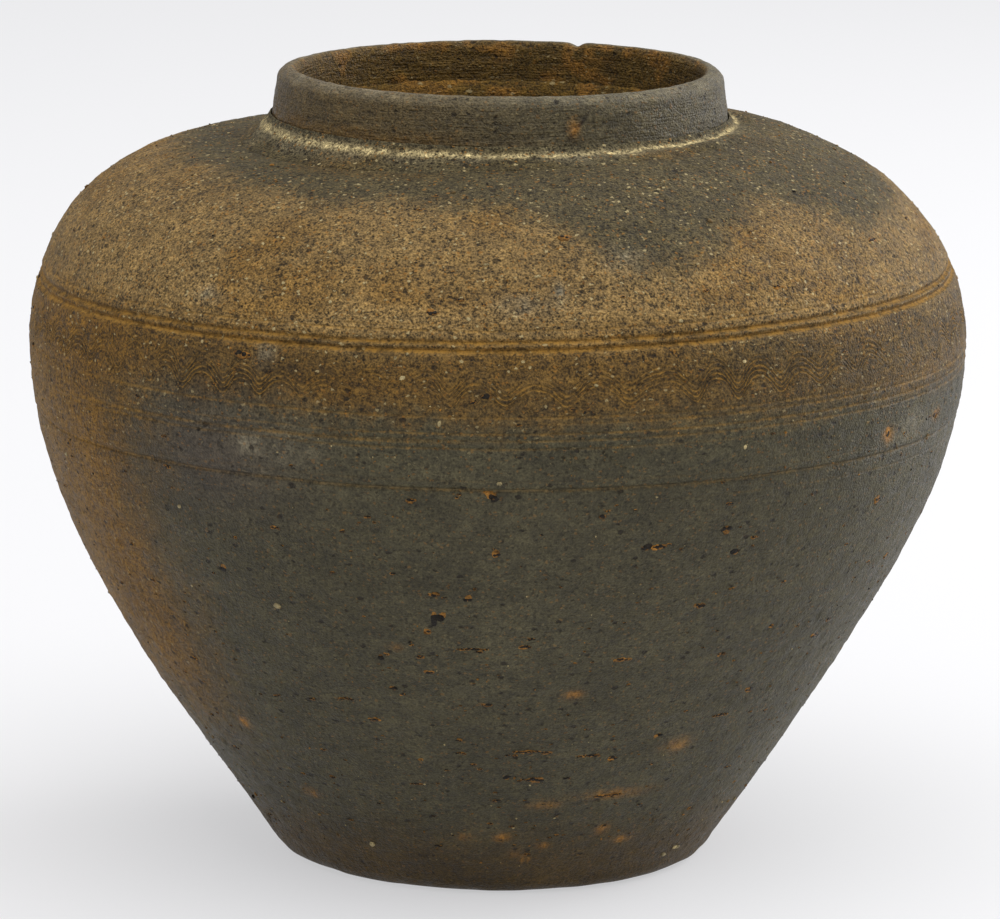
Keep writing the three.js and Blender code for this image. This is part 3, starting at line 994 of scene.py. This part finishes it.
def sand_grains():
    """All grains, pits and cracks as one mesh of lumps on the finished skin."""
    named = [mark[:4] for mark in PITS]
    strewn_pits = np.concatenate([pit_places(301, 720, 12, 150, 0.62), pit_places(302, 150, 150, 262, 0.7)])
    cream = [(degrees, path, 0.6 * across, 0.6 * up) for degrees, path, across, up in CREAM_SPOTS]
    lumps = np.concatenate([
        sand(201, 1100, 193, 266, 0.36), sand(202, 480, 150, 191, 0.38),
        sand(203, 420, 30, 150, 0.3), sand(204, 160, 5, 30, 0.45),
        # The dark lumps in each pit and crack are painted shade; the wider orange lumps under them are the
        # rusty rims.
        rows_of_lumps(210, named, ORANGE, 1.7, 0.12), rows_of_lumps(211, named, DARK_GRIT_AND_SHADE, 1.0, 0.3),
        rows_of_lumps(212, strewn_pits, ORANGE, 1.45, 0.1),
        rows_of_lumps(213, strewn_pits, DARK_GRIT_AND_SHADE, 0.95, 0.26),
        rows_of_lumps(214, cream, CREAM, 1.0, 0.35),
    ])
    a, s, across, up, thick, lift, tone = lumps.T
    r, z, slope = profile(s)
    h = skin_height(a, s) + lift
    middle = spin(a, r + h * np.sin(slope), z - h * np.cos(slope)) / MM
    out_way = np.stack([np.sin(slope) * np.sin(a), -np.sin(slope) * np.cos(a), -np.cos(slope)], -1)
    side_way = np.stack([np.cos(a), np.sin(a), 0 * a], -1)
    up_way = np.cross(out_way, side_way)
    axes = np.stack([side_way * across[:, None], up_way * up[:, None], out_way * thick[:, None]], 1)
    corners, faces = lump_shape()
    rng = np.random.default_rng(205)
    local = corners[None] * rng.uniform(0.75, 1.2, (len(a), 12, 1))
    points = middle[:, None] + local @ axes
    all_faces = (faces[None] + 12 * np.arange(len(a))[:, None, None]).reshape(-1, 3)
    mesh = bpy.data.meshes.new("sand_grains")
    mesh.from_pydata((points.reshape(-1, 3) * MM).tolist(), [], all_faces.tolist())
    mesh.polygons.foreach_set("use_smooth", np.ones(len(all_faces), bool))
    palette = np.array([TONES[name] for name in GRAIN_TONES])
    shade = palette[tone.astype(int)] * rng.uniform(0.45, 0.95, (len(a), 1))
    rgba = np.repeat(np.concatenate([shade, np.ones((len(a), 1))], 1), 12, axis=0)
    mesh.attributes.new("tone", "FLOAT_COLOR", "POINT").data.foreach_set("color", rgba.reshape(-1))
    piece = bpy.data.objects.new("sand_grains", mesh)
    bpy.context.collection.objects.link(piece)
    piece.data.materials.append(GRIT_STONE)
    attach(piece, "root")
    print(f"sand_grains: {len(a)} lumps, {len(all_faces)} triangles")


# Grit is feldspar and burnt iron sand: tiny dull stones, each of one colour, that catch no highlight.
GRIT_STONE = stoneware("sand_grit", roughness=0.8)
sand_grains()


# %% [markdown]
# ## Studio
# The jar stands on a pale sheet under broad soft light, stronger from above and from the right.
# The sheet is plain and keeps the jar's shadow.

# %% Floor, world and lights
def floor_sheet():
    """A wide pale sheet under the jar. It is matt paper: it takes a soft shadow and has no highlight,
    and a share of plain white keeps its far part as bright as the backdrop."""
    mesh = bpy.data.meshes.new("floor")
    reach = 9.0
    corners = [(-reach, -reach, 0), (reach, -reach, 0), (reach, reach, 0), (-reach, reach, 0)]
    mesh.from_pydata(corners, [], [(0, 1, 2, 3)])
    sheet = bpy.data.objects.new("floor", mesh)
    bpy.context.collection.objects.link(sheet)
    material = bpy.data.materials.new("pale_paper")
    material.use_nodes = True
    tree = material.node_tree
    tree.nodes.clear()
    add = functools.partial(add_node, tree)
    paper = add("BsdfDiffuse", (0.86, 0.86, 0.87, 1))
    white = add("Emission", (0.92, 0.92, 0.935, 1), 1.0)
    seen = 0.0
    for ray in ("Is Camera Ray", "Is Glossy Ray", "Is Transmission Ray"):
        seen = add("Math", add("LightPath", out=ray), seen, operation="MAXIMUM")
    white_share = add("Math", seen, 0.55, operation="MULTIPLY")
    mixed = add("MixShader", white_share, paper, white)
    add("OutputMaterial", mixed)
    mesh.materials.append(material)


def soft_light(name, place, aim, width, height, power):
    """An area light at a place, turned to face a point; sizes in metres, power in watts."""
    lamp = bpy.data.lights.new(name, "AREA")
    lamp.shape = "RECTANGLE"
    lamp.size, lamp.size_y, lamp.energy = width, height, power
    light = bpy.data.objects.new(name, lamp)
    bpy.context.collection.objects.link(light)
    light.location = place
    direction = np.array(aim) - np.array(place)
    light.rotation_mode = "QUATERNION"
    light.rotation_quaternion = Vector(direction).to_track_quat("-Z", "Y")


floor_sheet()
world = bpy.data.worlds.new("studio")
bpy.context.scene.world = world
world.use_nodes = True
world.node_tree.nodes["Background"].inputs["Color"].default_value = (1.0, 1.0, 1.02, 1.0)
world.node_tree.nodes["Background"].inputs["Strength"].default_value = 0.5
soft_light("overhead", (0.3, -0.5, 2.6), (0, 0.1, 0.0), 3.2, 3.0, 60)
soft_light("right_window", (1.7, 1.1, 0.8), (0, 0, 0.12), 1.0, 1.4, 24)


# %% [markdown]
# ## Camera
# The view was recovered from the jar's own outline: far away, a long lens, looking down by eleven
# and a half degrees. The image is 1000 pixels wide.

# %% Camera
IMAGE_WIDTH = 1000
FOCAL_PX = 6117
CENTRE_SHIFT_PX = 3.56
LOOK_DOWN_DEG = 11.51
ROLL_DEG = 0.605
SENSOR_MM = 36
camera_data = bpy.data.cameras.new("camera")
camera_data.sensor_width = SENSOR_MM
camera_data.lens = FOCAL_PX / IMAGE_WIDTH * SENSOR_MM
camera_data.shift_x = CENTRE_SHIFT_PX / IMAGE_WIDTH
camera_data.clip_end = 60
camera = bpy.data.objects.new("camera", camera_data)
bpy.context.collection.objects.link(camera)
camera.location = (0, -1.8, 0.4837)
camera.rotation_mode = "QUATERNION"
pitch = Quaternion((1, 0, 0), math.radians(90 - LOOK_DOWN_DEG))
roll = Quaternion((0, 0, 1), math.radians(ROLL_DEG))
camera.rotation_quaternion = pitch @ roll
bpy.context.scene.camera = camera
bpy.context.scene.view_settings.view_transform = "Standard"
